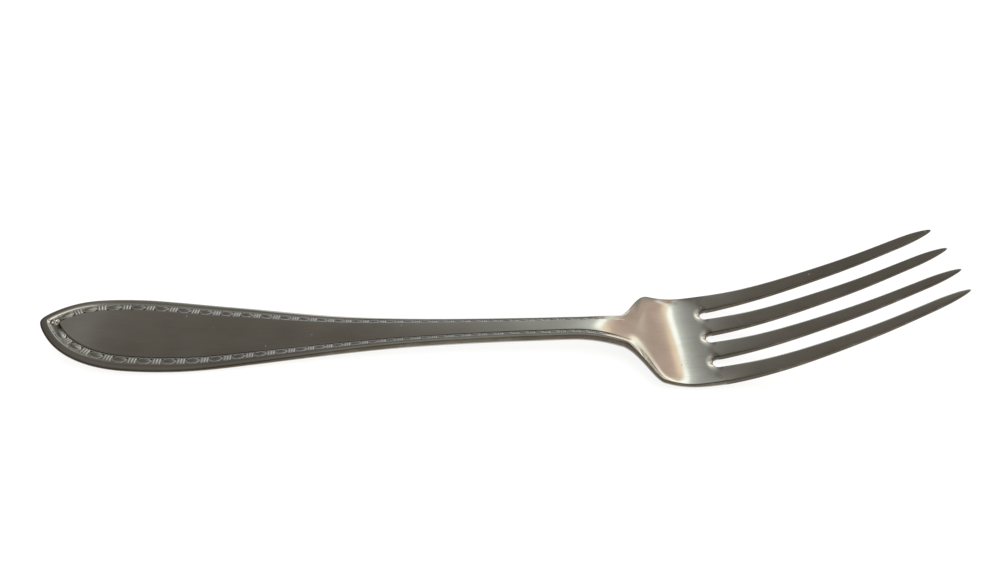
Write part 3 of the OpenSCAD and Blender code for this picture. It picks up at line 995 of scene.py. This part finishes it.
def worn_steel_group():
    """Worn polished steel. Fine lines run lengthwise, with sparse faint scratches, small matt specks
    and cloudy, tarnished patches. The satin attribute says where the steel was never polished. The
    other attribute says where the colour is painted darker: painted dark reflections on the edges
    and walls, painted shade along the channel, and darker crevices in the relief."""
    tree = bpy.data.node_groups.new("worn_steel", "ShaderNodeTree")
    for in_out, sockets in (("INPUT", STEEL_INPUTS), ("OUTPUT", STEEL_OUTPUTS)):
        for name, kind in sockets:
            tree.interface.new_socket(name, in_out=in_out, socket_type="NodeSocket" + kind)
    given = add(tree, "NodeGroupInput").outputs
    place = add(tree, "ShaderNodeTexCoord").outputs["Object"]
    satin = add(tree, "ShaderNodeAttribute", attribute_name="satin").outputs["Fac"]
    # Second attribute: where the colour is painted darker, as painted dark reflections, painted
    # shade and darker crevices
    tarnish_and_shade = add(tree, "ShaderNodeAttribute", attribute_name="tarnish_and_shade").outputs["Fac"]
    lines = noise(tree, place, LINE_SCALE)
    scratches = 0.0
    for turn, start in SCRATCHES:
        streak = noise(tree, place, SCRATCH_SCALE, turn=turn, detail=1.0)
        scratch = ramp(tree, streak, start, start + SCRATCH_EDGE, 0.0, SCRATCH_DEPTH)
        scratches = math(tree, "MAXIMUM", scratches, scratch)
    cell = add(tree, "ShaderNodeTexVoronoi")
    feed(tree, cell.inputs["Vector"], place)
    cell.inputs["Scale"].default_value = SPECK_SCALE
    chosen = add(tree, "ShaderNodeSeparateColor")
    feed(tree, chosen.inputs[0], cell.outputs["Color"])
    dot = ramp(tree, cell.outputs["Distance"], *SPECK_RADIUS, 1.0, 0.0)
    specks = math(tree, "MULTIPLY", dot, ramp(tree, chosen.outputs[0], *SPECK_PICK))
    marks = math(tree, "MAXIMUM", scratches, specks)
    marks = math(tree, "MULTIPLY", marks, given["Scratches"])
    cloud = noise(tree, place, CLOUD_SCALE, detail=3.0)
    grime = noise(tree, place, GRIME_SCALE, detail=3.0)
    pits = math(tree, "MULTIPLY", specks, given["Scratches"])
    satin = math(tree, "MAXIMUM", satin, math(tree, "MULTIPLY", pits, SPECK_SATIN))
    steel = mix(tree, satin, given["Steel"], given["Satin"])
    cloudy = math(tree, "MULTIPLY", ramp(tree, cloud, *CLOUD_RANGE), CLOUD_DARK)
    line_shade = math(tree, "MULTIPLY", math(tree, "SUBTRACT", lines, 0.5), LINE_SHADE)
    line_shade = math(tree, "MULTIPLY", line_shade, given["Lines"])
    # Painted dark reflections and painted shade from the second attribute, made slightly patchy,
    # darken the steel towards the dark brown, along with the cloudy patches and the fine lines
    patchy = math(tree, "MULTIPLY", tarnish_and_shade, ramp(tree, grime, *GRIME_RANGE, GRIME_LEAST, 1.0))
    dark = math(tree, "ADD", math(tree, "ADD", patchy, cloudy), line_shade)
    clamp = add(tree, "ShaderNodeClamp")
    dark = math(tree, "SUBTRACT", dark, math(tree, "MULTIPLY", marks, MARK_LIGHT))
    feed(tree, clamp.inputs[0], dark)
    colour = mix(tree, clamp.outputs[0], steel, given["Tarnish_and_shade"])
    rough = given["Polish"]
    for value, share in ((satin, SATIN_ROUGH), (tarnish_and_shade, TARNISH_AND_SHADE_ROUGH), (marks, MARK_ROUGH),
                         (line_shade, LINE_ROUGH)):
        rough = math(tree, "ADD", rough, math(tree, "MULTIPLY", value, share))
    height = math(tree, "MULTIPLY", math(tree, "MULTIPLY", lines, given["Lines"]), LINE_HEIGHT)
    height = math(tree, "SUBTRACT", height, marks)
    grain = math(tree, "MULTIPLY", math(tree, "MULTIPLY", grime, satin), GRAIN_HEIGHT)
    height = math(tree, "ADD", height, grain)
    bump = add(tree, "ShaderNodeBump")
    bump.inputs["Strength"].default_value = BUMP_STRENGTH
    bump.inputs["Distance"].default_value = BUMP_DISTANCE
    feed(tree, bump.inputs["Height"], height)
    metallic = math(tree, "SUBTRACT", 1.0, math(tree, "MULTIPLY", satin, SATIN_MATT))
    result = add(tree, "NodeGroupOutput").inputs
    feed(tree, result["Color"], colour)
    feed(tree, result["Metallic"], metallic)
    feed(tree, result["Roughness"], rough)
    feed(tree, result["Normal"], bump.outputs[0])
    return tree


def steel_material(name, group, steel, satin, tarnish_and_shade, polish, lines, scratches):
    """Steel finished with the worn steel group: three colours, the roughness where it is
    polished, and the strength of its lines and scratches."""
    material = bpy.data.materials.new(name)
    material.use_nodes = True
    tree = material.node_tree
    shader = tree.nodes["Principled BSDF"]
    worn = add(tree, "ShaderNodeGroup", node_tree=group)
    values = ((*steel, 1), (*satin, 1), (*tarnish_and_shade, 1), polish, lines, scratches)
    for (socket, _), value in zip(STEEL_INPUTS, values):
        worn.inputs[socket].default_value = value
    for output, _ in STEEL_OUTPUTS:
        socket = "Base Color" if output == "Color" else output
        tree.links.new(worn.outputs[output], shader.inputs[socket])
    return material


STEEL = (0.56, 0.545, 0.51)
SATIN = (0.46, 0.5, 0.55)
# Dark brown of the painted dark reflections and painted shade, and of the darker crevices
TARNISH_AND_SHADE = (0.1, 0.084, 0.062)
worn_steel = worn_steel_group()
fork_steel = steel_material("fork_steel", worn_steel, STEEL, SATIN, TARNISH_AND_SHADE,
                            polish=0.14, lines=0.5, scratches=1.0)
border_steel = steel_material("border_steel", worn_steel, STEEL, SATIN, TARNISH_AND_SHADE,
                              polish=0.12, lines=0.3, scratches=0.0)

fork = fork_body(fork_steel)
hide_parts(*NODES)
border_side("border_left", 1, border_steel)
border_side("border_right", -1, border_steel)
end_rosette(border_steel)


# Camera, light and floor
def camera_axes(pitch, yaw, roll):
    """Right, up and forward directions of a camera that looks down by pitch, turns right by yaw
    and rolls, in degrees."""
    pitch, yaw, roll = np.radians((pitch, yaw, roll))
    forward = np.array([np.sin(yaw) * np.cos(pitch), np.cos(yaw) * np.cos(pitch), -np.sin(pitch)])
    level = np.array([np.cos(yaw), -np.sin(yaw), 0])
    upright_axis = np.cross(level, forward)
    right = np.cos(roll) * level + np.sin(roll) * upright_axis
    up = np.cos(roll) * upright_axis - np.sin(roll) * level
    return right, up, forward


CAMERA_TURN = (44.5, 2.02, 2.17)
CAMERA_PLACE = (0.13, -100.95, 118.27)
CAMERA_LENS = 25.56
SENSOR_W = 36
NEAREST = 0.01


def place_camera():
    """The camera, with its place in millimetres from the frame's origin."""
    right, up, forward = camera_axes(*CAMERA_TURN)
    camera = bpy.data.objects.new("camera", bpy.data.cameras.new("camera"))
    bpy.context.scene.collection.objects.link(camera)
    camera.data.lens = CAMERA_LENS
    camera.data.sensor_width = SENSOR_W
    camera.data.clip_start = NEAREST
    turn = Matrix(np.stack([right, up, -forward], 1).tolist()).to_4x4()
    camera.matrix_world = Matrix.Translation(Vector(CAMERA_PLACE) * MM) @ turn
    bpy.context.scene.camera = camera


FLOOR_SIZE = 6.0
FLOOR_COLOUR = (0.3, 0.3, 0.3, 1)
FLOOR_GLOW = 0.82
FLOOR_ROUGHNESS = 0.9


def floor():
    """A plain white floor. Its glow, seen directly and in the steel, brings it up to white and
    leaves the shadow."""
    mesh = bpy.data.meshes.new("floor")
    corners = [(FLOOR_SIZE * a, FLOOR_SIZE * b, 0) for a, b in ((-1, -1), (1, -1), (1, 1), (-1, 1))]
    mesh.from_pydata(corners, [], [(0, 1, 2, 3)])
    plane = bpy.data.objects.new("floor", mesh)
    bpy.context.scene.collection.objects.link(plane)
    material = bpy.data.materials.new("floor")
    material.use_nodes = True
    tree = material.node_tree
    shader = tree.nodes["Principled BSDF"]
    shader.inputs["Base Color"].default_value = FLOOR_COLOUR
    shader.inputs["Roughness"].default_value = FLOOR_ROUGHNESS
    shader.inputs["Specular IOR Level"].default_value = 0
    shader.inputs["Emission Color"].default_value = (1, 1, 1, 1)
    path = add(tree, "ShaderNodeLightPath").outputs
    seen = math(tree, "MAXIMUM", path["Is Camera Ray"], path["Is Glossy Ray"])
    seen = math(tree, "MAXIMUM", seen, path["Is Transmission Ray"])
    feed(tree, shader.inputs["Emission Strength"], math(tree, "MULTIPLY", seen, FLOOR_GLOW))
    mesh.materials.append(material)


# Tones round the room, by azimuth in degrees from +y towards +x
ROOM = ((-180, (0.34, 0.33, 0.3)), (-150, (0.28, 0.27, 0.24)), (-110, (0.2, 0.19, 0.17)),
        (-60, (0.145, 0.13, 0.115)), (-30, (0.165, 0.15, 0.13)), (-20, (0.2, 0.19, 0.17)),
        (-12, (0.26, 0.25, 0.23)), (-6, (0.33, 0.33, 0.31)), (0, (0.45, 0.46, 0.44)),
        (8, (0.61, 0.63, 0.6)), (14, (0.8, 0.84, 0.79)), (20, (1.02, 1.07, 1.0)),
        (28, (1.12, 1.04, 0.86)), (33, (1.02, 0.84, 0.66)), (37, (0.81, 0.64, 0.53)),
        (42, (0.73, 0.56, 0.47)), (54, (0.71, 0.58, 0.48)), (64, (0.6, 0.5, 0.43)),
        (85, (0.35, 0.34, 0.32)), (140, (0.3, 0.29, 0.27)), (179, (0.34, 0.33, 0.3)))
# Panels, bright or dark: azimuths and elevations of their edges, softness of each, tone added
PANELS = (((20.5, 1.4, 28, 1.2), (-8, 4, 50, 2.5), (0.8, 0.92, 0.95)),
          ((30, 2, 37, 3), (40, 3, 46.5, 2), (0.38, 0.24, 0.1)),
          ((30, 3, 64, 4), (47.5, 2.5, 54, 3), (0.6, 0.75, 0.8)),
          ((12, 4, 40, 3), (55, 3, 66, 5), (-0.4, -0.36, -0.32)),
          ((29, 3, 47, 3), (-12, 4, 18, 4), (1.0, 1.1, 0.95)),
          ((-16, 4, 9, 4), (-4, 3, 20, 4), (0.65, 0.72, 0.75)),
          ((85, 8, 150, 10), (-12, 6, 38, 8), (1.5, 1.5, 1.35)))
BACKDROP_EDGE = (2, 10)
BACKDROP = (0.32, 0.31, 0.28)
CEILING_EDGE = (64, 82)
CEILING = (0.185, 0.175, 0.16)


def room():
    """The room as a gradient of direction: tones by azimuth, a low backdrop all round, a darker
    ceiling and soft bright panels. Straight behind everything the camera sees white."""
    world = bpy.data.worlds.new("room")
    bpy.context.scene.world = world
    world.use_nodes = True
    tree = world.node_tree
    towards = add(tree, "ShaderNodeSeparateXYZ")
    feed(tree, towards.inputs[0], add(tree, "ShaderNodeTexCoord").outputs["Generated"])
    azimuth = math(tree, "ARCTAN2", towards.outputs["X"], towards.outputs["Y"])
    azimuth = math(tree, "MULTIPLY", azimuth, np.degrees(1))
    elevation = math(tree, "MULTIPLY", math(tree, "ARCSINE", towards.outputs["Z"]), np.degrees(1))
    tones = add(tree, "ShaderNodeValToRGB")
    tones.color_ramp.interpolation = "EASE"
    stops = tones.color_ramp.elements
    while len(stops) < len(ROOM):
        stops.new(0.5)
    for stop, (angle, tone) in zip(stops, ROOM):
        stop.position = (angle + 180) / 360
        stop.color = (*tone, 1)
    feed(tree, tones.inputs[0], math(tree, "DIVIDE", math(tree, "ADD", azimuth, 180), 360))
    colour = mix(tree, ramp(tree, elevation, *CEILING_EDGE), tones.outputs[0], (*CEILING, 1))
    colour = mix(tree, ramp(tree, elevation, *BACKDROP_EDGE), (*BACKDROP, 1), colour)
    for sides, heights, tone in PANELS:
        across, up = between(tree, azimuth, *sides), between(tree, elevation, *heights)
        panel = math(tree, "MULTIPLY", across, up)
        brighter = add(tree, "ShaderNodeVectorMath", operation="MULTIPLY_ADD")
        feed(tree, brighter.inputs[0], panel)
        brighter.inputs[1].default_value = tone
        feed(tree, brighter.inputs[2], colour)
        colour = brighter.outputs[0]
    path = add(tree, "ShaderNodeLightPath").outputs
    colour = mix(tree, path["Is Camera Ray"], colour, (1, 1, 1, 1))
    feed(tree, tree.nodes["Background"].inputs["Color"], colour)


FILL_HEIGHT = 1.3
FILL_SIZE = 1.2
FILL_POWER = 9


def fill_lamp():
    """A wide soft lamp overhead that lights the floor and isn't mirrored in the steel."""
    data = bpy.data.lights.new("fill", "AREA")
    data.size = FILL_SIZE
    data.energy = FILL_POWER
    made = bpy.data.objects.new("fill", data)
    bpy.context.scene.collection.objects.link(made)
    made.location = (0, 0, FILL_HEIGHT)
    made.visible_glossy = False


place_camera()
floor()
room()
fill_lamp()

bpy.context.scene.view_settings.view_transform = "Standard"
